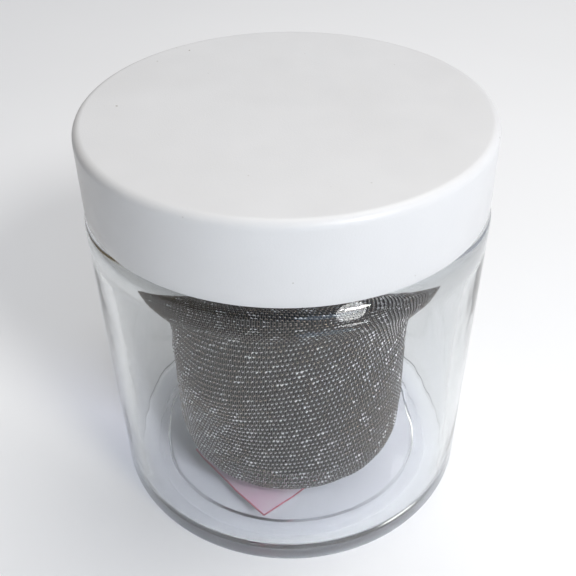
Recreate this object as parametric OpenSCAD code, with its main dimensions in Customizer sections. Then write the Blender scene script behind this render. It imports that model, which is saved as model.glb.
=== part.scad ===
// Screw-top glass jar that holds a knitted wire pad for cleaning soldering iron tips.
// Origin: centre of the ring that the jar stands on. +Z runs up the jar's axis. Millimetres.

/* [Jar] */
// Outer diameter of the glass body
jar_d = 93.5; // [93:0.1:96]
// Height of the glass rim above the table
rim_h = 97.3; // [92:0.1:130]
// Thickness of the glass wall
jar_wall = 3.25; // [2.8:0.05:3.8]
// Thickness of the glass base, up to the flat of the jar's floor
base_t = 3.8; // [3.5:0.1:7]
// Diameter of the flat of the floor
floor_flat_d = 71; // [71:0.5:78]
// Rise of the floor from its flat to its corner
floor_rise = 1.2; // [0.5:0.1:2]
// Radius of the corner between the floor and the inside wall
floor_round = 1; // [0.5:0.1:3]
// Radius of the heel, at the foot of the outside wall
heel_round = 2.4; // [1:0.1:4]
// Radius of the shoulder, under the skirt of the lid
shoulder_round = 2.6; // [1.5:0.1:3]
// Depth of the hollow under the base
push_up = 0.9; // [0.5:0.1:2]
// Diameter of the mouth
mouth_d = 79.2; // [74:0.1:80]

/* [Screw thread] */
// Diameter of the neck at the root of its thread
neck_d = 86.4; // [86:0.1:86.6]
// Height of the thread above the neck
thread_depth = 1.25; // [0.8:0.05:1.3]
// Rise of the thread in one turn
thread_pitch = 5.08; // [4.5:0.01:6]
// Turns of thread on the neck, and in the lid
thread_turns = 1.4; // [1:0.1:1.5]
// Radial and axial play between the two threads
thread_play = 0.3; // [0.2:0.05:0.4]

/* [Lid] */
// Diameter of the lid at its top edge
lid_d = 92; // [91.8:0.1:93]
// Height of the lid
lid_h = 18.8; // [18:0.1:22]
// Thickness of the lid's flat top
lid_top_t = 1.8; // [1.2:0.1:2.2]
// Radius of the lid's top edge
lid_round = 2; // [1:0.1:2.6]
// Radius of the corner inside the lid, between its top and its skirt
lid_inner_round = 1.5; // [0.5:0.1:2]
// Amount by which the skirt is wider at the bottom, on the radius
lid_draft = 0.25; // [0:0.05:0.4]
// Thickness of the sealing disc
liner_t = 1; // [0.5:0.1:1.5]
// Diameter of the sealing disc
liner_d = 85.2; // [82:0.1:85.4]

/* [Wire pad] */
// Diameter of the pad
pad_d = 62.6; // [50:0.2:70]
// Height of the pad
pad_h = 76; // [60:1:76]
// Radius of the pad's lower edge
pad_foot_round = 9; // [6:0.5:16]
// Radius of the pad's upper edge
pad_top_round = 8; // [5:0.5:10]
// Diameter of the hole where the knitted tube is tucked in at the top
pad_hole_d = 22; // [12:1:30]
// Thickness of solid steel that weighs as much as one layer of knit
knit_t = 0.3; // [0.2:0.05:0.5]
// Turns in the roll inside the pad
roll_turns = 5; // [3:1:6]

/* [Film] */
// Side of the square of film on the jar's floor
film_side = 30; // [24:1:44]
// Thickness of the film
film_t = 0.2; // [0.1:0.05:0.4]
// Angle from +X to the edge that runs right from the film's front corner
film_turn = 41; // [30:0.5:45]

/* [Hidden] */

$fn = 144;
ARC_STEPS = 8;             // pieces in a quarter of a small round
THREAD_STEPS = 72;         // rings in one turn of thread
THREAD_TAPER = 6;          // rings over which an end of thread fades out
THREAD_BITE = 0.6;         // depth to which a thread is rooted in its wall
THREAD_FOOT_W = 2.6;       // width of a thread at its root
THREAD_CREST_W = 1;        // width of a thread at its crest
THREAD_DROP = 2.6;         // from the rim down to the upper end of the neck's thread
SEAL_GAP = 0.1;            // above and below the sealing disc
PAD_GAP = 0.3;             // between loose things in the jar
SKIRT_GAP = 0.8;           // from the shoulder up to the skirt
STAND_W = 4;               // width of the ring that the jar stands on
PUSH_SLOPE_W = 3.5;        // width of the slope from that ring up to the hollow
ROLL_STEPS = 36;           // pieces in one turn of the roll
FILM_CORNER = [-7, -34.7]; // where the front corner of the film lies on the floor

jar_r = jar_d / 2;
inner_r = jar_r - jar_wall;
mouth_r = mouth_d / 2;
neck_r = neck_d / 2;
neck_foot_round = 1;
rim_round = 1.2;
stand_r = jar_r - heel_round - STAND_W;
floor_slope = atan(floor_rise / (inner_r - floor_round - floor_flat_d / 2));
floor_corner_z = base_t + floor_rise + floor_round / cos(floor_slope);

lid_top = rim_h + SEAL_GAP + liner_t + SEAL_GAP + lid_top_t;
lid_bottom = lid_top - lid_h;
lid_under = lid_top - lid_top_t;
lid_r = lid_d / 2;
lid_bore_r = neck_r + thread_depth + thread_play;
skirt_edge = 0.4;
shoulder_h = lid_bottom - SKIRT_GAP;

inner_bend_r = 6; // of the two bends by which the inside wall runs into the neck
inner_bend_angle = acos(1 - (inner_r - mouth_r) / (2 * inner_bend_r));
inner_bend_top = shoulder_h;
inner_bend_foot = inner_bend_top - 2 * inner_bend_r * sin(inner_bend_angle);

neck_thread_top = rim_h - THREAD_DROP;
neck_thread_foot = neck_thread_top - thread_pitch * thread_turns;
thread_mid_w = (THREAD_FOOT_W + THREAD_CREST_W) / 2;
lid_thread_foot = neck_thread_foot - thread_mid_w - thread_play;

pad_r = pad_d / 2;
pad_foot = base_t + film_t + PAD_GAP;
pad_top = pad_foot + pad_h;
roll_gap = 1; // between the roll and the sleeve around it
roll_inner_r = 4;
roll_outer_r = pad_r - knit_t - roll_gap;

// Points along part of a circle, from angle a0 to angle a1.
function arc(centre, r, a0, a1, steps = ARC_STEPS) =
    [for (i = [0:steps]) let (a = a0 + (a1 - a0) * i / steps) centre + r * [cos(a), sin(a)]];

// A ridge of thread wound up a wall. Its foot is rooted in the wall, and its ends fade into it.
module thread_ridge(foot_r, crest_r, foot_z) {
    steps = round(thread_turns * THREAD_STEPS);
    outward = sign(crest_r - foot_r);
    function fade(i) = min(1, i / THREAD_TAPER, (steps - i) / THREAD_TAPER);
    function section(i) =
        let (root = foot_r - outward * THREAD_BITE)
        let (sunk = foot_r - outward * THREAD_BITE / 2)
        let (crest = sunk + (crest_r - sunk) * fade(i))
        [
            [root, -outward * THREAD_FOOT_W / 2],
            [crest, -outward * THREAD_CREST_W / 2],
            [crest, outward * THREAD_CREST_W / 2],
            [root, outward * THREAD_FOOT_W / 2]
        ];
    points = [
        for (i = [0:steps])
            let (angle = 360 * i / THREAD_STEPS, z = foot_z + thread_pitch * i / THREAD_STEPS)
            for (p = section(i)) [p.x * cos(angle), p.x * sin(angle), z + p.y]
    ];
    sides = [
        for (i = [0:steps - 1], k = [0:3])
            let (a = 4 * i + k, b = 4 * i + (k + 1) % 4)
            for (face = [[a, b, b + 4], [a, b + 4, a + 4]]) face
    ];
    last = 4 * steps;
    ends = [[3, 2, 1, 0], [last, last + 1, last + 2, last + 3]];
    polyhedron(points, concat(sides, ends));
}

module jar() {
    outside = concat(
        [[0, push_up], [stand_r - PUSH_SLOPE_W, push_up], [stand_r, 0]],
        arc([jar_r - heel_round, heel_round], heel_round, -90, 0),
        arc([jar_r - shoulder_round, shoulder_h - shoulder_round], shoulder_round, 0, 90),
        arc([neck_r + neck_foot_round, shoulder_h + neck_foot_round], neck_foot_round, 270, 180),
        arc([neck_r - rim_round, rim_h - rim_round], rim_round, 0, 90)
    );
    inside = concat(
        arc([mouth_r + rim_round, rim_h - rim_round], rim_round, 90, 180),
        arc([mouth_r + inner_bend_r, inner_bend_top], inner_bend_r, 180, 180 + inner_bend_angle),
        arc([inner_r - inner_bend_r, inner_bend_foot], inner_bend_r, inner_bend_angle, 0),
        arc([inner_r - floor_round, floor_corner_z], floor_round, 0, floor_slope - 90),
        [[floor_flat_d / 2, base_t], [0, base_t]]
    );
    color("lightcyan", 0.4)
        union() {
            rotate_extrude() polygon(concat(outside, inside));
            thread_ridge(neck_r, neck_r + thread_depth, neck_thread_foot);
        }
}

module lid() {
    outside = concat(
        [[lid_bore_r, lid_bottom], [lid_r + lid_draft - skirt_edge, lid_bottom]],
        [[lid_r + lid_draft, lid_bottom + skirt_edge]],
        arc([lid_r - lid_round, lid_top - lid_round], lid_round, 0, 90)
    );
    inside = concat(
        [[0, lid_top], [0, lid_under]],
        arc([lid_bore_r - lid_inner_round, lid_under - lid_inner_round], lid_inner_round, 90, 0)
    );
    color("white")
        union() {
            rotate_extrude() polygon(concat(outside, inside));
            thread_ridge(lid_bore_r, neck_r + thread_play, lid_thread_foot);
        }
}

module lid_liner() {
    color("whitesmoke")
        translate([0, 0, rim_h + SEAL_GAP]) cylinder(d = liner_d, h = liner_t);
}

// Outline of the pad, or of the space inside it, from the lower middle round to the edge of the hole.
function pad_outline(inset) = concat(
    [[0, pad_foot + inset]],
    arc([pad_r - pad_foot_round, pad_foot + pad_foot_round], pad_foot_round - inset, -90, 0),
    arc([pad_r - pad_top_round, pad_top - pad_top_round], pad_top_round - inset, 0, 90),
    [[pad_hole_d / 2, pad_top - inset]]
);

module mesh_sleeve() {
    inner = pad_outline(knit_t);
    color("dimgray")
        rotate_extrude() polygon(concat(pad_outline(0), [for (i = [len(inner) - 1:-1:0]) inner[i]]));
}

// A strip of knit rolled up, wide enough to fill the straight part of the sleeve.
module mesh_roll() {
    steps = roll_turns * ROLL_STEPS;
    growth = (roll_outer_r - roll_inner_r) / steps;
    function spiral(i, inset) =
        let (angle = 360 * i / ROLL_STEPS)
        (roll_inner_r + growth * i - inset) * [cos(angle), sin(angle)];
    outer = [for (i = [0:steps]) spiral(i, 0)];
    inner = [for (i = [steps:-1:0]) spiral(i, knit_t / 2)];
    color("gray")
        translate([0, 0, pad_foot + pad_foot_round])
            linear_extrude(pad_h - pad_foot_round - pad_top_round) polygon(concat(outer, inner));
}

module antistatic_film() {
    color("pink", 0.7)
        translate([FILM_CORNER.x, FILM_CORNER.y, base_t])
            rotate(film_turn)
                linear_extrude(film_t) square(film_side);
}

jar();
lid();
lid_liner();
mesh_sleeve();
mesh_roll();
antistatic_film();
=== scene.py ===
"""Looks of a soldering tip cleaning jar: glass jar, screw lid, sealing disc, knitted wire pad and pink film.

Metres, +Z up the jar's axis, -Y towards the camera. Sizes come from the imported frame's boxes, and the few
that a box can't give (wall, rounds, thread) are named below in millimetres.
"""

import math

import bpy
import numpy as np
from mathutils import Matrix, Vector


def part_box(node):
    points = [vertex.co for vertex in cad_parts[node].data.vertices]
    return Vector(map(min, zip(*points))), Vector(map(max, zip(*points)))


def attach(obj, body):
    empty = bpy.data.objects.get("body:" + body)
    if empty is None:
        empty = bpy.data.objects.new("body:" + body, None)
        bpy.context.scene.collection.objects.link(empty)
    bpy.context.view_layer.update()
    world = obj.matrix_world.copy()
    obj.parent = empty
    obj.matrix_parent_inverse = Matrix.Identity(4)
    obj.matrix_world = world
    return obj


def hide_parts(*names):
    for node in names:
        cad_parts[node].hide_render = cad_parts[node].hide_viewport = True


MM = 0.001

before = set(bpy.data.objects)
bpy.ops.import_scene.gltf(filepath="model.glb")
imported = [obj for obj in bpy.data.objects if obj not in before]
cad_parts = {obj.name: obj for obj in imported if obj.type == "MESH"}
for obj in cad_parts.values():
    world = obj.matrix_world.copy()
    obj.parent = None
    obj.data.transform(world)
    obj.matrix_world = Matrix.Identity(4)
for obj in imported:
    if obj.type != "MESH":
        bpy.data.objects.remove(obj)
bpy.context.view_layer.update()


def box_mm(node):
    """Outer radius, lowest and highest point of a round CAD node, in millimetres."""
    low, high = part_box(node)
    return high.x / MM, low.z / MM, high.z / MM


# ---------------------------------------------------------------- sizes, in millimetres

JAR_R, _, RIM_Z = box_mm("jar")
LID_FOOT_R, LID_FOOT_Z, LID_TOP_Z = box_mm("lid")
LINER_R, LINER_FOOT_Z, LINER_TOP_Z = box_mm("lid_liner")
PAD_R, PAD_FOOT_Z, PAD_TOP_Z = box_mm("mesh_sleeve")
ROLL_R, ROLL_FOOT_Z, ROLL_TOP_Z = box_mm("mesh_roll")

WALL = 3.25  # of the glass
BASE = 3.8  # height of the flat of the jar's floor
MOUTH_R = 39.6
NECK_R = 43.2  # at the root of its thread
NECK_FOOT_ROUND = 1.0
HEEL_ROUND = 2.4
SHOULDER_ROUND = 2.6
SKIRT_GAP = 0.8  # from the shoulder up to the lid's skirt
FLOOR_FLAT_R = 35.5
FLOOR_RISE = 1.2  # from the flat of the floor to its corner
FLOOR_ROUND = 1.0
CREASE_W = 0.45  # half the width of the crease round the flat of the floor
CREASE_DEPTH = 0.6
INNER_BEND_R = 6.0  # of the two bends by which the inside wall runs into the neck
PUSH_UP = 0.9  # height of the hollow under the base
PUSH_SLOPE_W = 3.5  # width of the slope up to that hollow
STAND_W = 4.0  # width of the ring that the jar stands on
STIPPLE_FROM_Z, STIPPLE_TO_Z = 0.3, 0.6  # heights between which that ring's rough skin fades out
RIM_ROUND = 1.2
OUTER_WAVE = 0.05  # depth of the waves in the outside of the glass
INNER_WAVE = 0.1  # and in its inside
WAVES_FROM_R = 20.0

THREAD_PITCH = 5.08
THREAD_TURNS = 1.4
THREAD_DEPTH = 1.25
THREAD_PLAY = 0.3
THREAD_FOOT_W = 2.6
THREAD_CREST_W = 1.0
THREAD_DROP = 2.6  # from the rim down to the upper end of the neck's thread
THREAD_FADE = 1 / 12  # turns over which an end of thread fades out
NECK_THREAD_FOOT_Z = RIM_Z - THREAD_DROP - THREAD_PITCH * THREAD_TURNS

LID_R = 46.0
LID_ROUND = 2.0
LID_INNER_ROUND = 1.5  # of the corner inside, between its top and its skirt
LID_TOP_T = 1.8
SKIRT_EDGE = 0.4
BORE_EDGE = 0.3  # chamfer at the foot of the lid's bore

PAD_FOOT_ROUND = 9.0
PAD_TOP_ROUND = 8.0
PAD_HOLE_R = 11.0

ROLL_INNER_R = 4.0
ROLL_TURNS = 5
ROLL_T = 0.15
ROLL_RIPPLE = 0.3

FILM_SIDE = 30.0
FILM_TURN = 41.0  # degrees from +X to the edge that runs right from its front corner
FILM_CELLS = 50
# The darker rim is painted shade along the film's cut edge.
FILM_EDGE_W = 0.35  # width of the darker rim
FILM_CURL = 1.3
CURL_FROM_R, CURL_SPAN = 27.0, 9.0  # the film lifts from this radius on

# ---------------------------------------------------------------- mesh helpers


def arc(centre_r, centre_z, radius, start, end, steps=10):
    """Points (radius, height) along part of a circle between two angles in degrees."""
    angles = np.radians(np.linspace(start, end, steps + 1))
    return [(centre_r + radius * math.cos(a), centre_z + radius * math.sin(a)) for a in angles]


def dense(outline, step):
    """The outline again, with points added so that none are further apart than step."""
    points = [outline[0]]
    for (r0, z0), (r1, z1) in zip(outline, outline[1:]):
        n = max(1, math.ceil(math.hypot(r1 - r0, z1 - z0) / step))
        points += [(r0 + (r1 - r0) * i / n, z0 + (z1 - z0) * i / n) for i in range(1, n + 1)]
    return points


def make_object(name, points_mm, faces, materials, material_index=None, sharp_angle=None):
    """A mesh object from points in millimetres. Faces are smooth, and sharp_angle keeps sharper edges."""
    mesh = bpy.data.meshes.new(name)
    mesh.from_pydata(np.asarray(points_mm) * MM, [], faces)
    for material in materials:
        mesh.materials.append(material)
    if material_index is not None:
        mesh.polygons.foreach_set("material_index", material_index)
    mesh.shade_smooth()
    if sharp_angle is not None:
        mesh.set_sharp_from_angle(angle=math.radians(sharp_angle))
    mesh.validate()
    obj = bpy.data.objects.new(name, mesh)
    bpy.context.scene.collection.objects.link(obj)
    return obj


def lathe(name, outline, material, segments=192, radial=None):
    """Turns an outline of (radius, height) about the Z axis. Points on the axis become poles.

    radial(r, z, angle) moves a ring's points outwards by what it returns.
    """
    angles = np.linspace(0, 2 * math.pi, segments, endpoint=False)
    points, rings, faces = [], [], []
    for r, z in outline:
        if r < 1e-6:
            rings.append([len(points)])
            points.append((0, 0, z))
            continue
        grown = r + (radial(r, z, angles) if radial else 0) * np.ones(segments)
        rings.append(list(range(len(points), len(points) + segments)))
        points += list(zip(grown * np.cos(angles), grown * np.sin(angles), np.full(segments, z)))
    for low, high in zip(rings, rings[1:]):
        for i in range(segments):
            j = (i + 1) % segments
            if len(low) == 1:
                faces.append((low[0], high[j], high[i]))
            elif len(high) == 1:
                faces.append((low[i], low[j], high[0]))
            else:
                faces.append((low[i], low[j], high[j], high[i]))
    return make_object(name, points, faces, [material], sharp_angle=40)


# ---------------------------------------------------------------- material helpers


def new_material(name, **values):
    """A Principled material with constant values on the shader's own sockets."""
    material = bpy.data.materials.new(name)
    material.use_nodes = True
    shader = material.node_tree.nodes["Principled BSDF"]
    for socket, value in values.items():
        shader.inputs[socket.replace("_", " ")].default_value = value
    return material, shader


def node(material, kind, **values):
    """A new node. Values name its sockets, or its own settings."""
    made = material.node_tree.nodes.new(kind)
    for key, value in values.items():
        if hasattr(made, key):
            setattr(made, key, value)
        else:
            made.inputs[key.replace("_", " ")].default_value = value
    return made


def join(material, source, target):
    material.node_tree.links.new(source, target)


def noise(material, scale, detail=3.0, roughness=0.5, stretch=(1, 1, 1)):
    """Noise in object coordinates, at scale waves per metre."""
    place = node(material, "ShaderNodeTexCoord")
    spread = node(material, "ShaderNodeMapping")
    spread.inputs["Scale"].default_value = stretch
    made = node(material, "ShaderNodeTexNoise", Scale=scale, Detail=detail, Roughness=roughness)
    join(material, place.outputs["Object"], spread.inputs["Vector"])
    join(material, spread.outputs["Vector"], made.inputs["Vector"])
    return made.outputs["Fac"]


def ramp(material, factor, stops):
    """Colours along a factor. Stops are (place, colour)."""
    made = node(material, "ShaderNodeValToRGB")
    elements = made.color_ramp.elements
    while len(elements) < len(stops):
        elements.new(0.5)
    for element, (place, colour) in zip(elements, stops):
        element.position = place
        element.color = (*colour, 1) if len(colour) == 3 else colour
    join(material, factor, made.inputs["Fac"])
    return made.outputs["Color"]


def grey(value):
    return (value, value, value)


def bump(material, height, strength, distance):
    made = node(material, "ShaderNodeBump", Strength=strength, Distance=distance)
    join(material, height, made.inputs["Height"])
    return made.outputs["Normal"]


# ---------------------------------------------------------------- materials


def glass_material():
    """Clear pressed glass with a faint tint in its depth. The ring that it stands on is stippled.

    Light that casts shadows runs straight through it, so that the jar's inside is lit.
    """
    material, shader = new_material(
        "clear_glass", Base_Color=(0.83, 0.84, 0.845, 1), Roughness=0.0, IOR=1.5, Transmission_Weight=1.0
    )
    depth = node(material, "ShaderNodeVolumeAbsorption", Density=14.0)
    depth.inputs["Color"].default_value = (0.62, 0.72, 0.74, 1)
    output = material.node_tree.nodes["Material Output"]
    join(material, depth.outputs["Volume"], output.inputs["Volume"])
    clear = node(material, "ShaderNodeBsdfTransparent")
    clear.inputs["Color"].default_value = (0.86, 0.86, 0.90, 1)
    light_path = node(material, "ShaderNodeLightPath")
    mix = node(material, "ShaderNodeMixShader")
    join(material, light_path.outputs["Is Shadow Ray"], mix.inputs["Fac"])
    join(material, shader.outputs["BSDF"], mix.inputs[1])
    join(material, clear.outputs["BSDF"], mix.inputs[2])
    join(material, mix.outputs["Shader"], output.inputs["Surface"])
    place = node(material, "ShaderNodeTexCoord")
    height = node(material, "ShaderNodeSeparateXYZ")
    join(material, place.outputs["Object"], height.inputs["Vector"])
    foot = node(material, "ShaderNodeMapRange")
    foot.inputs["From Min"].default_value = STIPPLE_FROM_Z * MM
    foot.inputs["From Max"].default_value = STIPPLE_TO_Z * MM
    foot.inputs["To Min"].default_value = 0.35
    foot.inputs["To Max"].default_value = 0.0
    join(material, height.outputs["Z"], foot.inputs["Value"])
    join(material, foot.outputs["Result"], shader.inputs["Roughness"])
    waves = noise(material, 70, detail=2, stretch=(1, 1, 0.5))
    join(material, bump(material, waves, 0.18, 0.0006), shader.inputs["Normal"])
    return material


def lid_material():
    """Satin white moulded plastic with a fine skin texture and a few dark specks."""
    material, shader = new_material("white_plastic", Roughness=0.36, IOR=1.46)
    tone = ramp(
        material,
        noise(material, 45, detail=4),
        [(0.3, (0.66, 0.655, 0.65)), (0.7, (0.69, 0.687, 0.684))],
    )
    specks = ramp(material, noise(material, 900, detail=1), [(0.17, grey(1)), (0.2, grey(0))])
    mix = node(material, "ShaderNodeMix", data_type="RGBA")
    join(material, specks, mix.inputs["Factor"])
    join(material, tone, mix.inputs["A"])
    mix.inputs["B"].default_value = (0.34, 0.31, 0.27, 1)
    join(material, mix.outputs["Result"], shader.inputs["Base Color"])
    rough = ramp(material, noise(material, 160, detail=5), [(0.3, grey(0.3)), (0.7, grey(0.44))])
    join(material, rough, shader.inputs["Roughness"])
    skin = noise(material, 2600, detail=2)
    join(material, bump(material, skin, 0.12, 0.0002), shader.inputs["Normal"])
    return material


def liner_material():
    """Off-white closed-cell foam."""
    material, shader = new_material("liner_foam", Roughness=0.75)
    stops = [(0.3, (0.76, 0.75, 0.72)), (0.7, (0.84, 0.83, 0.81))]
    tone = ramp(material, noise(material, 300, detail=4), stops)
    join(material, tone, shader.inputs["Base Color"])
    join(material, bump(material, noise(material, 2200), 0.4, 0.0002), shader.inputs["Normal"])
    return material


def wire_material(name, colour, roughness):
    """Steel wire. The knit is real geometry, so its four kinds of wire need no texture."""
    material, _ = new_material(name, Base_Color=(*colour, 1), Metallic=1.0, Roughness=roughness)
    return material


def film_material():
    """Pink see-through plastic film."""
    material, shader = new_material("pink_film", Roughness=0.2, IOR=1.5, Transmission_Weight=0.35)
    stops = [(0.3, (0.98, 0.64, 0.79)), (0.7, (1.0, 0.88, 0.95))]
    tone = ramp(material, noise(material, 120, detail=3), stops)
    join(material, tone, shader.inputs["Base Color"])
    join(material, bump(material, noise(material, 250), 0.3, 0.0005), shader.inputs["Normal"])
    return material


def film_edge_shade_material():
    """The film's cut edge, painted dark red as painted shade along the edge."""
    material, shader = new_material("pink_film_edge_shade", Roughness=0.3, IOR=1.5)
    stops = [(0.35, (0.36, 0.03, 0.06)), (0.65, (0.62, 0.14, 0.2))]
    tone = ramp(material, noise(material, 400, detail=2), stops)
    join(material, tone, shader.inputs["Base Color"])
    return material


def roll_shade_material():
    """Packed knit seen edge on and through the sleeve, painted near black as painted shade deep in the pad,
    with rows of small glints.
    """
    material, shader = new_material("roll_painted_shade", Metallic=1.0, Roughness=0.45)
    stops = [(0.4, grey(0.004)), (0.75, (0.03, 0.028, 0.026))]
    tone = ramp(material, noise(material, 1100, detail=2), stops)
    join(material, tone, shader.inputs["Base Color"])
    join(material, bump(material, noise(material, 1100), 0.8, 0.0006), shader.inputs["Normal"])
    return material


def floor_material():
    """Pale paper with a faint unevenness."""
    material, shader = new_material("floor", Roughness=0.8)
    tone = ramp(material, noise(material, 6, detail=2), [(0.3, grey(0.88)), (0.7, grey(0.90))])
    join(material, tone, shader.inputs["Base Color"])
    return material


# ---------------------------------------------------------------- glass jar and lid


def thread_height(z, angles, foot_z):
    """Height of the screw thread above its wall at height z, for each angle. It rises counter-clockwise."""
    total = np.zeros_like(angles)
    for turn in range(math.ceil(THREAD_TURNS)):
        t = angles / (2 * math.pi) + turn
        away = np.abs(z - foot_z - THREAD_PITCH * t)
        side = (THREAD_FOOT_W - THREAD_CREST_W) / 2
        rise = np.clip((THREAD_FOOT_W / 2 - away) / side, 0, 1)
        fade = np.clip(np.minimum(t, THREAD_TURNS - t) / THREAD_FADE, 0, 1)
        total = np.maximum(total, THREAD_DEPTH * rise * rise * (3 - 2 * rise) * fade)
    return total


def waves(seed, longest, count=7, busiest=7):
    """A smooth random function of (angle, height in mm), from -1 to 1, that closes round the axis."""
    rng = np.random.default_rng(seed)
    turns = rng.integers(1, busiest, count)
    tall = rng.uniform(-1, 1, count) * 2 * math.pi / longest
    start = rng.uniform(0, 2 * math.pi, count)

    def value(angle, height):
        return sum(np.sin(n * angle + k * height + s) for n, k, s in zip(turns, tall, start)) / count

    return value


def faded(value):
    return min(1, max(0, value))


def make_jar(material):
    """The jar as one closed turned skin, wavy in its wall, with the thread raised on its neck."""
    shoulder_z = LID_FOOT_Z - SKIRT_GAP
    inner_r = JAR_R - WALL
    bend = math.degrees(math.acos(1 - (inner_r - MOUTH_R) / (2 * INNER_BEND_R)))
    bend_foot_z = shoulder_z - 2 * INNER_BEND_R * math.sin(math.radians(bend))
    slope = math.atan(FLOOR_RISE / (inner_r - FLOOR_ROUND - FLOOR_FLAT_R))
    corner_z = BASE + FLOOR_RISE + FLOOR_ROUND / math.cos(slope)
    stand_r = JAR_R - HEEL_ROUND - STAND_W

    base = dense([(0, PUSH_UP), (stand_r - PUSH_SLOPE_W, PUSH_UP), (stand_r, 0)], 3)
    body = arc(JAR_R - HEEL_ROUND, HEEL_ROUND, HEEL_ROUND, -90, 0, 14)
    body += arc(JAR_R - SHOULDER_ROUND, shoulder_z - SHOULDER_ROUND, SHOULDER_ROUND, 0, 90, 14)
    neck = arc(NECK_R + NECK_FOOT_ROUND, shoulder_z + NECK_FOOT_ROUND, NECK_FOOT_ROUND, 270, 180, 6)
    rim = arc(NECK_R - RIM_ROUND, RIM_Z - RIM_ROUND, RIM_ROUND, 0, 90, 6)
    inside = arc(MOUTH_R + RIM_ROUND, RIM_Z - RIM_ROUND, RIM_ROUND, 90, 180, 6)
    inside += arc(MOUTH_R + INNER_BEND_R, shoulder_z, INNER_BEND_R, 180, 180 + bend, 12)
    inside += arc(inner_r - INNER_BEND_R, bend_foot_z, INNER_BEND_R, bend, 0, 12)
    inside += arc(inner_r - FLOOR_ROUND, corner_z, FLOOR_ROUND, 0, math.degrees(slope) - 90, 12)
    inside += [(FLOOR_FLAT_R + CREASE_W, BASE + CREASE_W * math.tan(slope))]
    inside += [(FLOOR_FLAT_R, BASE - CREASE_DEPTH), (FLOOR_FLAT_R - CREASE_W, BASE), (0, BASE)]
    outline = base + dense(body, 2) + dense(neck + rim, 0.35) + dense(inside, 2)

    outer_waves, inner_waves = waves(3, 60), waves(5, 45)

    def radial(r, z, angles):
        if r > NECK_R - 0.01 and shoulder_z + NECK_FOOT_ROUND < z < RIM_Z - RIM_ROUND:
            return thread_height(z, angles, NECK_THREAD_FOOT_Z)
        strength = faded((shoulder_z - 4 - z) / 15) * faded((z - 2) / 8)
        ripple, size = (outer_waves, OUTER_WAVE) if r > inner_r + 0.5 else (inner_waves, INNER_WAVE)
        return (ripple(angles, z) - 1) * size * strength if r > WAVES_FROM_R else 0

    return lathe("glass_jar", outline, material, radial=radial)


def make_lid(material):
    """The lid as one closed turned skin, with the thread raised on its bore."""
    bore_r = NECK_R + THREAD_DEPTH + THREAD_PLAY
    under_z = LID_TOP_Z - LID_TOP_T
    edge_r, edge_z = LID_R - LID_ROUND, LID_TOP_Z - LID_ROUND
    corner_r, corner_z = bore_r - LID_INNER_ROUND, under_z - LID_INNER_ROUND
    thread_foot_z = NECK_THREAD_FOOT_Z - (THREAD_FOOT_W + THREAD_CREST_W) / 2 - THREAD_PLAY

    outline = dense([(0, under_z), (corner_r - 0.2, under_z)], 4)
    outline += arc(corner_r, corner_z, LID_INNER_ROUND, 90, 0, 8)
    outline += dense([(bore_r, corner_z), (bore_r, LID_FOOT_Z + BORE_EDGE)], 0.35)[1:]
    outline += [(bore_r + BORE_EDGE, LID_FOOT_Z), (LID_FOOT_R - SKIRT_EDGE, LID_FOOT_Z)]
    outline += [(LID_FOOT_R - SKIRT_EDGE * 0.3, LID_FOOT_Z + SKIRT_EDGE * 0.3)]
    outline += [(LID_FOOT_R, LID_FOOT_Z + SKIRT_EDGE)]
    outline += dense([(LID_FOOT_R, LID_FOOT_Z + SKIRT_EDGE), (LID_R, edge_z)], 3)[1:-1]
    outline += arc(edge_r, edge_z, LID_ROUND, 0, 90, 16)
    outline += dense([(edge_r - 0.2, LID_TOP_Z), (0, LID_TOP_Z)], 4)

    def radial(r, z, angles):
        if abs(r - bore_r) < 0.01 and z > LID_FOOT_Z + 0.2:
            return -thread_height(z, angles, thread_foot_z)
        return 0

    return lathe("screw_lid", outline, material, radial=radial)


def make_liner(material):
    """The sealing disc, with rounded edges."""
    edge = 0.3
    outline = [(0, LINER_FOOT_Z)]
    outline += arc(LINER_R - edge, LINER_FOOT_Z + edge, edge, -90, 0, 4)
    outline += arc(LINER_R - edge, LINER_TOP_Z - edge, edge, 0, 90, 4)
    outline += [(0, LINER_TOP_Z)]
    return lathe("sealing_disc", dense(outline, 5), material)


# ---------------------------------------------------------------- knitted pad

WALES = 182  # stitches in one course
COURSE = 1.45  # from one course to the next
WIRE_R = 0.15
LOOP_RISE = 0.66  # half the height of a stitch, in courses
LOOP_DEPTH = 0.17
LOOP_SWING = 0.9  # by which a stitch bulges, as an angle of its wave
STITCH_STEPS = 8
WIRE_SIDES = 4
WALE_DRIFT = 0.44  # stitches by which each course is shifted from the last
ROW_LEAN = 9.0  # half the climb of a row from one side of the pad to the other
DENT = 0.35
SCATTER = 0.12  # of each stitch, along the outline
GLINT_SWELL = 1.8  # of the wire where a bright stitch stands proud
PLEATS = 26  # round the holes, where the tube is gathered
PLEAT_DEPTH = 1.4
PLEAT_FROM_R, PLEAT_SPAN = 20.0, 9.0
TUCK_DEPTH = 7.0
TUCK_ROUND = 2.5
# The last slot is painted shade: steel painted near black where it lies back between the stitch heads.
BRIGHT, GREY, BROWN, PAINTED_SHADE = range(4)  # slots of the wire materials


def pad_outline():
    """The sleeve's middle line from the tuck inside its top hole, over the side, to the hole in its foot."""
    inset = LOOP_DEPTH + WIRE_R
    top = PAD_TOP_Z - inset
    foot = PAD_FOOT_Z + inset
    side = PAD_R - inset
    points = [(PAD_HOLE_R - TUCK_ROUND, top - TUCK_DEPTH)]
    points += arc(PAD_HOLE_R, top - TUCK_ROUND, TUCK_ROUND, 180, 90, 6)
    points += arc(PAD_R - PAD_TOP_ROUND, PAD_TOP_Z - PAD_TOP_ROUND, PAD_TOP_ROUND - inset, 90, 0, 12)
    points += arc(PAD_R - PAD_FOOT_ROUND, PAD_FOOT_Z + PAD_FOOT_ROUND, PAD_FOOT_ROUND - inset, 0, -90, 16)
    points += [(PAD_HOLE_R, foot)]
    return dense(points, 0.5)


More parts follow.
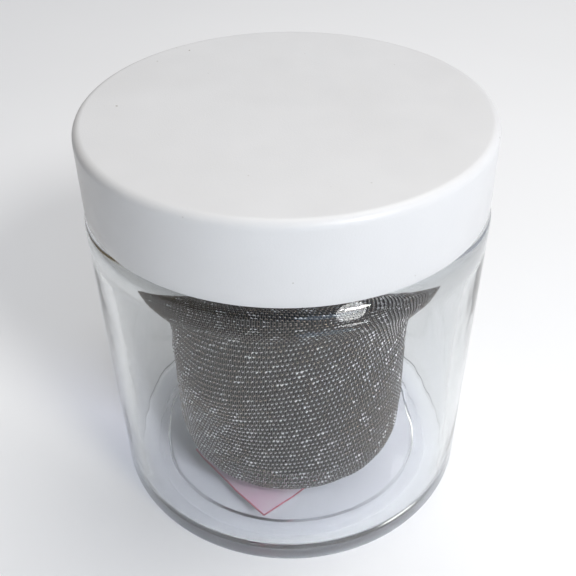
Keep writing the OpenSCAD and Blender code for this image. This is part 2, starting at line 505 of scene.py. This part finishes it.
class Meridian:
    """Places points on the sleeve by angle and by distance along its outline."""

    def __init__(self, outline):
        points = np.array(outline)
        steps = np.linalg.norm(np.diff(points, axis=0), axis=1)
        self.along = np.concatenate([[0], np.cumsum(steps)])
        self.r, self.z = points.T
        slope_r, slope_z = np.gradient(self.r, self.along), np.gradient(self.z, self.along)
        size = np.hypot(slope_r, slope_z)
        self.normal_r, self.normal_z = -slope_z / size, slope_r / size
        self.length = self.along[-1]

    def read(self, values, s):
        return np.interp(s, self.along, values)

    def place(self, angle, s, out):
        normal_r, normal_z = self.read(self.normal_r, s), self.read(self.normal_z, s)
        r = self.read(self.r, s) + out * normal_r
        z = self.read(self.z, s) + out * normal_z
        points = np.stack([r * np.cos(angle), r * np.sin(angle), z], axis=-1)
        normals = np.stack([normal_r * np.cos(angle), normal_r * np.sin(angle), normal_z], axis=-1)
        return points, normals


def closed_tube(points, normals, radii):
    """Points and faces of a wire that follows a closed row of points."""
    along = np.roll(points, -1, 0) - np.roll(points, 1, 0)
    along /= np.linalg.norm(along, axis=1, keepdims=True)
    across = np.cross(along, normals)
    across /= np.linalg.norm(across, axis=1, keepdims=True)
    outward = np.cross(across, along)
    turn = 2 * math.pi * (np.arange(WIRE_SIDES) + 0.5) / WIRE_SIDES
    cosines, sines = np.cos(turn)[:, None, None], np.sin(turn)[:, None, None]
    ring = radii[None, :, None] * (cosines * outward + sines * across)
    verts = (points + ring).transpose(1, 0, 2).reshape(-1, 3)
    n = len(points)
    i = np.arange(n)[:, None]
    j = np.arange(WIRE_SIDES)[None, :]
    a = i * WIRE_SIDES + j
    b = i * WIRE_SIDES + (j + 1) % WIRE_SIDES
    c = (i + 1) % n * WIRE_SIDES + (j + 1) % WIRE_SIDES
    d = (i + 1) % n * WIRE_SIDES + j
    faces = np.stack([a, b, c, d], axis=-1).reshape(-1, 4)
    return verts, faces


def make_sleeve(materials):
    """The knitted tube: one closed ring of looped wire for each course, in bands of courses.

    Only the head of each stitch stands proud and has the steel's own colour. The rest of the wire is painted
    dark, as painted shade between the stitch heads.
    """
    line = Meridian(pad_outline())
    courses = int(line.length / COURSE)
    steps = WALES * STITCH_STEPS
    t = 2 * math.pi * np.arange(steps) / STITCH_STEPS
    dents, sway, tint = waves(11, 50), waves(13, 40), waves(17, 35)
    sparkle = waves(19, 5, busiest=60)
    rng = np.random.default_rng(7)
    side_from = line.along[np.argmax(line.r > PAD_R - 1)]
    side_to = line.along[len(line.r) - 1 - np.argmax(line.r[::-1] > PAD_R - 1)]

    bands = []
    proud = np.cos(2 * math.pi * (np.arange(STITCH_STEPS) + 0.5) / STITCH_STEPS)[None, :] > 0.5
    for course in range(courses):
        u = t / (2 * math.pi) + LOOP_SWING / (2 * math.pi) * np.sin(2 * t) + WALE_DRIFT * course
        angle = 2 * math.pi * u / WALES
        middle = (course + 0.5) * line.length / courses
        tilt = np.interp(middle, [side_from, (side_from + side_to) / 2, side_to], [0.3, 1, 0])
        lean = -ROW_LEAN * tilt * np.cos(angle) + 0.5 * sway(angle, middle)
        shift = rng.normal(0, SCATTER, WALES).repeat(STITCH_STEPS)
        s = middle + lean + COURSE * (LOOP_RISE * np.cos(t)) + shift * 0.6
        s = np.clip(s, 0, line.length)
        radius_here = line.read(line.r, s)
        gather = np.clip((PLEAT_FROM_R - radius_here) / PLEAT_SPAN, 0, 1)
        out = LOOP_DEPTH * np.cos(2 * t)
        out += DENT * (dents(angle, middle) - 1)
        out -= PLEAT_DEPTH * gather * (0.5 - 0.5 * np.cos(PLEATS * angle))
        points, normals = line.place(angle, s, out)
        stitch = angle[::STITCH_STEPS]
        brown = tint(stitch, middle) + rng.normal(0, 0.35, WALES) < -0.2
        shining = sparkle(stitch, middle) + rng.normal(0, 0.15, WALES) > 0.43
        lit = np.where(shining, BRIGHT, np.where(brown, BROWN, GREY))
        # Wire away from the stitch heads takes the painted-shade slot: painted shade between the heads.
        index = np.where(proud, lit[:, None], PAINTED_SHADE)
        swollen = proud | np.roll(proud, 1, axis=1)
        radii = WIRE_R * np.where(swollen & shining[:, None], GLINT_SWELL, 1)
        verts, faces = closed_tube(points, normals, radii.ravel())
        bands.append((verts, faces, index.ravel().repeat(WIRE_SIDES)))

    names = ["knit_top", "knit_upper", "knit_middle", "knit_lower", "knit_foot"]
    made = []
    for name, part in zip(names, np.array_split(np.arange(courses), len(names))):
        starts = np.cumsum([0] + [len(bands[k][0]) for k in part[:-1]])
        verts = np.concatenate([bands[k][0] for k in part])
        faces = np.concatenate([bands[k][1] + start for k, start in zip(part, starts)])
        index = np.concatenate([bands[k][2] for k in part])
        made.append(make_object(name, verts, faces, materials, index))
    return made


def make_roll(material):
    """The strip of knit rolled up inside the sleeve, as a thick spiral sheet with a wavy upper edge."""
    steps = ROLL_TURNS * 60
    angle = np.linspace(0, 2 * math.pi * ROLL_TURNS, steps + 1)
    radius = np.linspace(ROLL_INNER_R, ROLL_R, steps + 1)
    rows = 12
    ripple = waves(23, 30)
    points, faces = [], []
    for side in (0, ROLL_T):
        for row in range(rows + 1):
            z = ROLL_FOOT_Z + (ROLL_TOP_Z - ROLL_FOOT_Z) * row / rows
            r = radius - side - ROLL_RIPPLE * (1 - ripple(angle, z))
            top = 0.6 * ripple(3 * angle, 0) - 0.6 if row == rows else 0
            points += list(zip(r * np.cos(angle), r * np.sin(angle), z + top * np.ones(steps + 1)))
    wide = steps + 1
    other = (rows + 1) * wide
    for row in range(rows):
        for i in range(steps):
            a, b = row * wide + i, (row + 1) * wide + i
            faces.append((a, a + 1, b + 1, b))
            faces.append((other + b, other + b + 1, other + a + 1, other + a))
    top = rows * wide
    for i in range(steps):
        faces.append((top + i, top + i + 1, other + top + i + 1, other + top + i))
        faces.append((i + 1, i, other + i, other + i + 1))
    for row in range(rows):
        a, b = row * wide, (row + 1) * wide
        faces.append((a, b, other + b, other + a))
        a, b = a + steps, b + steps
        faces.append((b, a, other + a, other + b))
    return make_object("knit_roll", points, faces, [material], sharp_angle=40)


# ---------------------------------------------------------------- pink film


def make_film(materials):
    """A thin square that lies flat under the pad. Its free front corner lifts a little."""
    low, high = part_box("antistatic_film")
    centre = (low + high) / 2 / MM
    thick = (high.z - low.z) / MM
    turn = math.radians(FILM_TURN)
    half = FILM_SIDE / 2
    middle = np.linspace(-half + FILM_EDGE_W, half - FILM_EDGE_W, FILM_CELLS - 1)
    spots = np.concatenate([[-half], middle, [half]])
    n = FILM_CELLS
    x, y = np.meshgrid(spots, spots)
    px = centre.x + x * math.cos(turn) - y * math.sin(turn)
    py = centre.y + x * math.sin(turn) + y * math.cos(turn)
    reach = np.hypot(px, py)
    curl = FILM_CURL * np.clip((reach - CURL_FROM_R) / CURL_SPAN, 0, 1) ** 1.6 * np.where(py < 0, 1, 0.3)
    points, index = [], []
    for level in (0.0, thick):
        z = low.z / MM + level + curl
        points += list(zip(px.ravel(), py.ravel(), z.ravel()))
    faces = []
    wide = n + 1
    other = wide * wide
    for row in range(n):
        for i in range(n):
            a, b = row * wide + i, (row + 1) * wide + i
            faces.append((a, b, b + 1, a + 1))
            faces.append((other + a, other + a + 1, other + b + 1, other + b))
            # Rim cells take the edge slot, painted darker as painted shade along the cut edge.
            rim = row in (0, n - 1) or i in (0, n - 1)
            index += [int(rim)] * 2
    for i in range(n):
        a, b = i, i + 1
        faces.append((a, b, other + b, other + a))
        a, b = n * wide + i, n * wide + i + 1
        faces.append((b, a, other + a, other + b))
        a, b = i * wide, (i + 1) * wide
        faces.append((b, a, other + a, other + b))
        a, b = i * wide + n, (i + 1) * wide + n
        faces.append((a, b, other + b, other + a))
    index += [1] * (len(faces) - len(index))
    return make_object("pink_square", points, faces, materials, index, sharp_angle=40)


# ---------------------------------------------------------------- build and attach


def stand_in(obj, body, slot, *nodes):
    """obj rides on a body and replaces CAD nodes. The slot is not used."""
    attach(obj, body)
    if nodes:
        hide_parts(*nodes)


stand_in(make_jar(glass_material()), "jar", "clear_glass", "jar")
stand_in(make_lid(lid_material()), "lid", "white_plastic", "lid")
stand_in(make_liner(liner_material()), "liner", "liner_foam", "lid_liner")

wires = [
    wire_material("wire_bright", (0.97, 0.97, 0.98), 0.4),
    wire_material("wire_grey", (0.98, 0.96, 0.94), 0.26),
    wire_material("wire_brown", (0.70, 0.57, 0.45), 0.26),
    # The last kind is painted shade: the same steel, painted near black where it lies back between the stitch
    # heads.
    wire_material("wire_painted_shade", (0.06, 0.05, 0.04), 0.34),
]
for band in make_sleeve(wires):
    stand_in(band, "pad", "sleeve_wire", "mesh_sleeve")
roll = make_roll(roll_shade_material())
stand_in(roll, "pad", "roll_wire", "mesh_roll")

film = make_film([film_material(), film_edge_shade_material()])
stand_in(film, "jar", "pink_film", "antistatic_film")

# ---------------------------------------------------------------- stage, lights, camera

FLOOR_HALF = 2500.0
FLOOR_GAP = 0.15  # from the jar's foot down to the floor, so that the two never share a plane

# The surroundings' colours along X, from the left of the picture to its right.
SURROUNDINGS = [(0.0, (0.20, 0.14, 0.06)), (0.5, (0.50, 0.56, 0.66)), (1.0, (0.85, 0.86, 0.95))]
SURROUNDINGS_STRENGTH = 0.6

CAMERA_LENS = 49.83
CAMERA_ELEVATION = 38.18
CAMERA_ROLL = -0.0155
CAMERA_DISTANCE = 4.4372  # in lid radii, as is its target
CAMERA_TARGET = (-0.0043, 0, 1.0903)


def make_floor():
    """A wide pale sheet under the jar."""
    corners = [(-1, -1), (1, -1), (1, 1), (-1, 1)]
    points = [(x * FLOOR_HALF, y * FLOOR_HALF, -FLOOR_GAP) for x, y in corners]
    floor = make_object("floor", points, [(0, 1, 2, 3)], [floor_material()])


def make_world():
    """Soft studio surroundings: pale above, warm and dim at the left, cool in front, bright at the right."""
    world = bpy.data.worlds.new("studio")
    bpy.context.scene.world = world
    world.use_nodes = True
    tree = world.node_tree
    place = tree.nodes.new("ShaderNodeTexCoord")
    split = tree.nodes.new("ShaderNodeSeparateXYZ")
    tree.links.new(place.outputs["Generated"], split.inputs["Vector"])
    side = tree.nodes.new("ShaderNodeMapRange")
    side.inputs["From Min"].default_value = -1
    tree.links.new(split.outputs["X"], side.inputs["Value"])
    colours = tree.nodes.new("ShaderNodeValToRGB")
    elements = colours.color_ramp.elements
    elements.new(0.5)
    for element, (spot, colour) in zip(elements, SURROUNDINGS):
        element.position = spot
        element.color = (*colour, 1)
    tree.links.new(side.outputs["Result"], colours.inputs["Fac"])
    background = tree.nodes["Background"]
    tree.links.new(colours.outputs["Color"], background.inputs["Color"])
    background.inputs["Strength"].default_value = SURROUNDINGS_STRENGTH


def soft_light(name, azimuth, elevation, distance, size, power, colour):
    """A round light aimed at the jar. Azimuth is from +X towards +Y, in degrees."""
    azimuth, elevation = math.radians(azimuth), math.radians(elevation)
    level = math.cos(elevation)
    away = Vector((level * math.cos(azimuth), level * math.sin(azimuth), math.sin(elevation)))
    data = bpy.data.lights.new(name, "AREA")
    data.shape = "DISK"
    data.size = size
    data.energy = power
    data.color = colour
    light = bpy.data.objects.new(name, data)
    light.location = Vector((0, 0, 0.05)) + away * distance
    light.rotation_euler = (-away).to_track_quat("-Z", "Y").to_euler()
    bpy.context.scene.collection.objects.link(light)


def make_camera():
    """A camera in front of the jar and above it, with the roll of a picture taken by hand."""
    lid_r = LID_R * MM
    distance = CAMERA_DISTANCE * lid_r
    up_angle = math.radians(CAMERA_ELEVATION)
    target = Vector(CAMERA_TARGET) * lid_r
    back = Vector((0, -math.cos(up_angle), math.sin(up_angle)))
    right = Vector((1, 0, 0))
    up = back.cross(right)
    x_axis = math.cos(CAMERA_ROLL) * right + math.sin(CAMERA_ROLL) * up
    y_axis = back.cross(x_axis)
    data = bpy.data.cameras.new("camera")
    data.lens = CAMERA_LENS
    data.sensor_width = 36
    data.clip_start, data.clip_end = 0.01, 20
    camera = bpy.data.objects.new("camera", data)
    axes = Matrix((x_axis, y_axis, back)).transposed()
    camera.matrix_world = Matrix.Translation(target + back * distance) @ axes.to_4x4()
    bpy.context.scene.collection.objects.link(camera)
    bpy.context.scene.camera = camera


make_floor()
make_world()
soft_light("key", azimuth=-52, elevation=42, distance=0.7, size=0.17, power=2.8, colour=(1.0, 0.99, 0.98))
soft_light("overhead", azimuth=50, elevation=68, distance=1.1, size=0.9, power=5.8, colour=(1.0, 0.965, 0.90))
soft_light("front", azimuth=-72, elevation=12, distance=0.9, size=0.5, power=1.2, colour=(0.55, 0.76, 1.0))
make_camera()
bpy.context.scene.view_settings.view_transform = "Standard"
